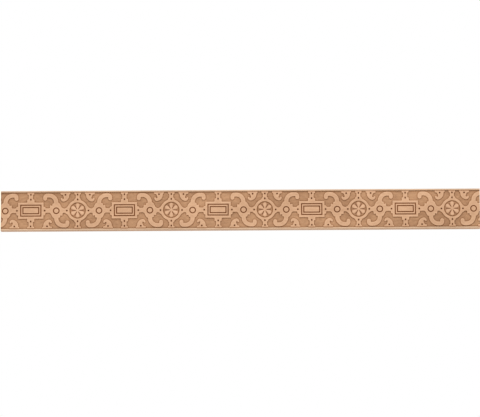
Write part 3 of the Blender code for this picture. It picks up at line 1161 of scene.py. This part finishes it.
def stretched_noise(tree, coordinates, stretch, detail):
    factors = {0: coordinates, 1: stretch}
    scaled = place(tree, "ShaderNodeVectorMath", factors, operation="MULTIPLY").outputs[0]
    sockets = {"Vector": scaled, "Scale": 1.0, "Detail": detail}
    return place(tree, "ShaderNodeTexNoise", sockets).outputs["Fac"]


print("six helpers, from", feed.__name__, "to", stretched_noise.__name__)

# %% [markdown]
# Wood figure as a node group
#
# Wood is solid all through, so its figure is worked out from a point's place in the board and
# not painted on each side. Year rings are thin shells round the pith, which lay behind the board
# and a little below it; fibres, bands and pores are noise drawn out along the board. Mottle is the
# way wood takes a finish in blotches and larger patches. Face, back and sawn ends all use this one
# group, so the rings on an end meet the streaks on the face. These measures are in metres, and
# the noise is given in waves a metre along x, y and z.

# %% Build the wood figure group
RING_SPACING = 0.0024
PITH_DEPTH = 0.052
PITH_BELOW = 0.017
PITH_SLANT = 0.035
RING_WANDER = 0.007
RING_CLOSES = 0.9
WANDER_WAVES = (3.2, 22, 22)
FIBRE_WAVES = (14, 950, 950)
BAND_WAVES = (5, 75, 75)
PORE_WAVES = (170, 2600, 2600)
BLOTCH_WAVES = (210, 430, 430)
PATCH_WAVES = (24, 40, 40)
PORE_RANGE = (0.64, 0.74)
MOTTLE_RANGE = (0.7, 1.3)


def wood_figure_group():
    group = bpy.data.node_groups.new("wood_figure", "ShaderNodeTree")
    spacing = group.interface.new_socket("Ring Spacing", in_out="INPUT", socket_type="NodeSocketFloat")
    spacing.default_value = RING_SPACING
    for name in ("Rings", "Fibres", "Bands", "Pores", "Mottle"):
        group.interface.new_socket(name, in_out="OUTPUT", socket_type="NodeSocketFloat")
    given = group.nodes.new("NodeGroupInput")
    here = place(group, "ShaderNodeTexCoord", {}).outputs["Object"]
    parts = place(group, "ShaderNodeSeparateXYZ", {0: here}).outputs
    wander = stretched_noise(group, here, WANDER_WAVES, 3)
    behind = maths(group, "SUBTRACT", parts["Y"], PITH_DEPTH)
    slant = maths(group, "MULTIPLY", parts["X"], PITH_SLANT)
    beside = maths(group, "ADD", maths(group, "ADD", parts["Z"], PITH_BELOW), slant)
    squares = [maths(group, "POWER", way, 2) for way in (behind, beside)]
    far = maths(group, "SQRT", maths(group, "ADD", *squares))
    moved_far = maths(group, "ADD", far, maths(group, "MULTIPLY", wander, RING_WANDER))
    year = maths(group, "FRACT", maths(group, "DIVIDE", moved_far, given.outputs["Ring Spacing"]))
    late = maths(group, "POWER", year, 3)
    closing = spread(group, year, RING_CLOSES, 1.0, 1.0, 0.0)
    rings = maths(group, "MULTIPLY", late, closing)
    fibres = stretched_noise(group, here, FIBRE_WAVES, 3)
    bands = stretched_noise(group, here, BAND_WAVES, 3)
    pores = spread(group, stretched_noise(group, here, PORE_WAVES, 1), *PORE_RANGE, 0, 1)
    blotches = stretched_noise(group, here, BLOTCH_WAVES, 2)
    patches = stretched_noise(group, here, PATCH_WAVES, 1)
    mottle = spread(group, maths(group, "ADD", blotches, patches), *MOTTLE_RANGE, 0, 1)
    values = {"Rings": rings, "Fibres": fibres, "Bands": bands, "Pores": pores, "Mottle": mottle}
    place(group, "NodeGroupOutput", values)
    return group


wood_figure = wood_figure_group()
given_out = [socket.name for socket in wood_figure.interface.items_tree if socket.in_out == "OUTPUT"]
print("wood figure gives", given_out)

# %% [markdown]
# The carved face
#
# The wood is a pale pinkish tan. On the real moulding the sunk ground is plainly browner than the
# plates, because finish has settled there. Grooves, drilled dots and the feet of walls are darker
# still, with settled finish and painted shade, the arrises and groove lips get a painted
# highlight, and the beads a painted greyish sheen. So the figure gives the first colour, its
# mottle darkens it in blotches, and the five masks tone it.
# Fibres and pores also give the bump and the roughness, because they are too fine for the mesh.

# %% Colours and the face material
PALE = (0.762, 0.463, 0.278, 1)
DEEP = (0.575, 0.312, 0.168, 1)
GROUND_TONE = (0.695, 0.61, 0.49, 1)
# settled finish and painted shade round walls, beside the beads and in the dish
STAIN_AND_SHADE_TONE = (0.72, 0.64, 0.52, 1)
# settled finish and painted shade in grooves, dots, the dish ring and at a strap's foot
CUT_STAIN_AND_SHADE_TONE = (0.415, 0.205, 0.032, 1)
MOTTLE_TONE = (0.62, 0.55, 0.46, 1)
# painted greyish sheen on the beads
BEAD_SHEEN_TONE = (0.97, 1.08, 1.18, 1)
# painted highlight on arrises and groove lips
EDGE_HIGHLIGHT_TONE = (0.80, 0.50, 0.31, 1)
EDGE_HIGHLIGHT_SHARE = 0.2
NOISE_RANGE = (0.3, 0.7)
RING_SHARE = 0.5
FIBRE_SHARE = 0.35
BAND_SHARE = 0.5
FIGURE_UNDER_FINISH = 0.30
PLATE_MOTTLE = 0.45
MORE_MOTTLE_DEEP = 0.4
CUT_RANGE = (0.05, 0.55)
FACE_ROUGHNESS = (0.52, 0.62)
PORE_DEPTH = 0.6
BUMP_DEPTH = 0.0001


def new_material(name):
    material = bpy.data.materials.new(name)
    material.use_nodes = True
    return material, material.node_tree, material.node_tree.nodes["Principled BSDF"]


def new_wood(name):
    material, tree, shader = new_material(name)
    figure = place(tree, "ShaderNodeGroup", {}, node_tree=wood_figure).outputs
    return material, tree, shader, figure


def give_surface(tree, shader, colour, height, roughness, strength):
    sockets = {"Strength": strength, "Distance": BUMP_DEPTH, "Height": height}
    bump = place(tree, "ShaderNodeBump", sockets).outputs[0]
    feed(tree, shader, {"Base Color": colour, "Roughness": roughness, "Normal": bump})


def wood_colour(tree, figure, strength):
    rings = maths(tree, "MULTIPLY", figure["Rings"], RING_SHARE)
    fibres = spread(tree, figure["Fibres"], *NOISE_RANGE, 0, FIBRE_SHARE)
    bands = spread(tree, figure["Bands"], *NOISE_RANGE, 0, BAND_SHARE)
    streaks = maths(tree, "ADD", rings, maths(tree, "ADD", fibres, bands))
    share = maths(tree, "MULTIPLY", streaks, strength)
    return blended(tree, "MIX", share, PALE, DEEP)


def mask_named(tree, name):
    return place(tree, "ShaderNodeAttribute", {}, attribute_name=name).outputs["Fac"]


def carved_face():
    material, tree, shader, figure = new_wood("carved_face")
    colour = wood_colour(tree, figure, FIGURE_UNDER_FINISH)
    sunk = mask_named(tree, "sunk")
    mottle_share = maths(tree, "MULTIPLY_ADD", sunk, MORE_MOTTLE_DEEP, PLATE_MOTTLE)
    mottle = maths(tree, "MULTIPLY", figure["Mottle"], mottle_share)
    colour = blended(tree, "MULTIPLY", mottle, colour, MOTTLE_TONE)
    colour = blended(tree, "MULTIPLY", sunk, colour, GROUND_TONE)
    # settled finish and painted shade, with the painted shadow under the upper bead
    colour = blended(tree, "MULTIPLY", mask_named(tree, "stain_and_shade"), colour, STAIN_AND_SHADE_TONE)
    # grooves, dots, the dish ring and the foot line: settled finish and painted shade
    in_cut = spread(tree, mask_named(tree, "cut"), *CUT_RANGE, 0, 1)
    colour = blended(tree, "MULTIPLY", in_cut, colour, CUT_STAIN_AND_SHADE_TONE)
    # painted highlight on arrises and groove lips
    highlighted = maths(tree, "MULTIPLY", mask_named(tree, "arris_highlight"), EDGE_HIGHLIGHT_SHARE)
    colour = blended(tree, "MIX", highlighted, colour, EDGE_HIGHLIGHT_TONE)
    # painted greyish sheen on the beads
    colour = blended(tree, "MULTIPLY", mask_named(tree, "bead"), colour, BEAD_SHEEN_TONE)
    roughness = spread(tree, figure["Fibres"], *NOISE_RANGE, *FACE_ROUGHNESS)
    pores = maths(tree, "MULTIPLY", figure["Pores"], PORE_DEPTH)
    height = maths(tree, "SUBTRACT", figure["Fibres"], pores)
    give_surface(tree, shader, colour, height, roughness, strength=0.35)
    return material


print("face colours", PALE[:3], DEEP[:3])

# %% [markdown]
# Planed back and sawn ends
#
# Nobody sees the back once the moulding is fixed, so it is only planed: the same figure without
# any finish, with the shallow ripples of the planer's knives across it. The ends are sawn
# straight across the fibres. End grain drinks finish and looks darker, its rings show as arcs
# and the saw has left fine marks.

# %% Back and end materials
RIPPLE = 0.0035
SAW_MARK = 0.0011
WAVE_SIZE = 0.3
END_TONE = (0.82, 0.76, 0.70, 1)


def ripples(tree, axis, pitch):
    here = place(tree, "ShaderNodeTexCoord", {}).outputs["Object"]
    sockets = {"Vector": here, "Scale": WAVE_SIZE / pitch, "Distortion": 0.4, "Detail": 1.0}
    return place(tree, "ShaderNodeTexWave", sockets, bands_direction=axis).outputs["Fac"]


def planed_back():
    material, tree, shader, figure = new_wood("planed_back")
    colour = wood_colour(tree, figure, strength=0.5)
    height = maths(tree, "ADD", ripples(tree, "X", RIPPLE), figure["Fibres"])
    give_surface(tree, shader, colour, height, roughness=0.7, strength=0.4)
    return material


def sawn_end():
    material, tree, shader, figure = new_wood("sawn_end")
    colour = blended(tree, "MULTIPLY", 1.0, wood_colour(tree, figure, strength=1.0), END_TONE)
    height = maths(tree, "SUBTRACT", ripples(tree, "Z", SAW_MARK), figure["Pores"])
    give_surface(tree, shader, colour, height, roughness=0.75, strength=0.5)
    return material


for material in (carved_face(), planed_back(), sawn_end()):
    mesh.materials.append(material)
print("materials:", [material.name for material in mesh.materials])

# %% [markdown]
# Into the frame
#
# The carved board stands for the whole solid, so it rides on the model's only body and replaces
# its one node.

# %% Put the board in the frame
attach(moulding, "root")
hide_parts(NODE)
print(moulding.name, "rides on root")

# %% [markdown]
# Studio
#
# The floor is plain and pale and lies well below, so that the camera can look up a little at the
# moulding as the picture does. A large soft lamp stands above and in front. It gives the straps
# a slight shadow on their lower side, while an even white room fills the rest.

# %% Floor, lamp and room
FLOOR_SIZE = 12
FLOOR_BELOW = 0.75
FLOOR_TONE = (0.86, 0.86, 0.85, 1)
ROOM_LIGHT = 0.70
LAMP_AT = (0, -1.70, 1.05)
LAMP_SIZE = (1.6, 0.9)
LAMP_POWER = 20.0


def studio_floor():
    bpy.ops.mesh.primitive_plane_add(size=FLOOR_SIZE, location=(0, 0, -FLOOR_BELOW))
    floor = bpy.context.object
    floor.name = "studio_floor"
    material, tree, shader = new_material("pale_floor")
    feed(tree, shader, {"Base Color": FLOOR_TONE, "Roughness": 0.8})
    floor.data.materials.append(material)


def soft_lamp():
    light = bpy.data.lights.new("soft_lamp", "AREA")
    light.shape = "RECTANGLE"
    light.size, light.size_y = LAMP_SIZE
    light.energy = LAMP_POWER
    lamp = bpy.data.objects.new("soft_lamp", light)
    lamp.location = LAMP_AT
    lamp.rotation_euler = (-Vector(LAMP_AT)).to_track_quat("-Z", "Y").to_euler()
    bpy.context.scene.collection.objects.link(lamp)


def white_room():
    """White where the camera sees it, and a little dimmer as light on the wood."""
    world = bpy.data.worlds.new("white_room")
    world.use_nodes = True
    tree = world.node_tree
    seen = place(tree, "ShaderNodeLightPath", {}).outputs["Is Camera Ray"]
    strength = spread(tree, seen, 0, 1, ROOM_LIGHT, 1.0)
    sockets = {"Color": (1, 1, 1, 1), "Strength": strength}
    background = place(tree, "ShaderNodeBackground", sockets).outputs[0]
    feed(tree, tree.nodes["World Output"], {"Surface": background})
    bpy.context.scene.world = world


studio_floor()
soft_lamp()
white_room()
bpy.context.scene.view_settings.view_transform = "Standard"
print("floor", FLOOR_BELOW, "m below, lamp", LAMP_POWER, "W")

# %% [markdown]
# Camera
#
# The picture is taken square to the board's length with a long lens, from about eight degrees
# below, so a thin line of the lower edge shows. The board spans nearly the whole width and is
# turned a third of a degree. Lens, aim and turn follow from where the board's ends lie in the
# picture, so they are given in its pixels and degrees.

# %% Camera
PICTURE_WIDTH = 480
SENSOR_WIDTH = 36
SEEN_LENGTH = 479.4
AIM_ASIDE = -0.4
AIM_ABOVE = 0.97
CAMERA_FAR = 3.0
CAMERA_BELOW = 8.2
CAMERA_TURN = 0.33


def picture_camera():
    camera_data = bpy.data.cameras.new("picture_camera")
    per_pixel = LENGTH * MM / SEEN_LENGTH
    camera_data.sensor_width = SENSOR_WIDTH
    camera_data.lens = SENSOR_WIDTH * CAMERA_FAR / (per_pixel * PICTURE_WIDTH)
    below, turn = math.radians(CAMERA_BELOW), math.radians(CAMERA_TURN)
    forward = Vector((0, math.cos(below), math.sin(below)))
    up = Vector((0, -math.sin(below), math.cos(below)))
    right = Vector((1, 0, 0))
    face_middle = Vector((0, -FACE * MM, 0))
    target = face_middle + right * AIM_ASIDE * per_pixel + up * AIM_ABOVE * per_pixel
    turned_right = right * math.cos(turn) - up * math.sin(turn)
    turned_up = up * math.cos(turn) + right * math.sin(turn)
    axes = Matrix((turned_right, turned_up, -forward)).transposed()
    camera = bpy.data.objects.new("picture_camera", camera_data)
    camera.matrix_world = Matrix.Translation(target - forward * CAMERA_FAR) @ axes.to_4x4()
    bpy.context.scene.collection.objects.link(camera)
    bpy.context.scene.camera = camera
    return camera_data.lens


print("lens", round(picture_camera(), 1), "mm")
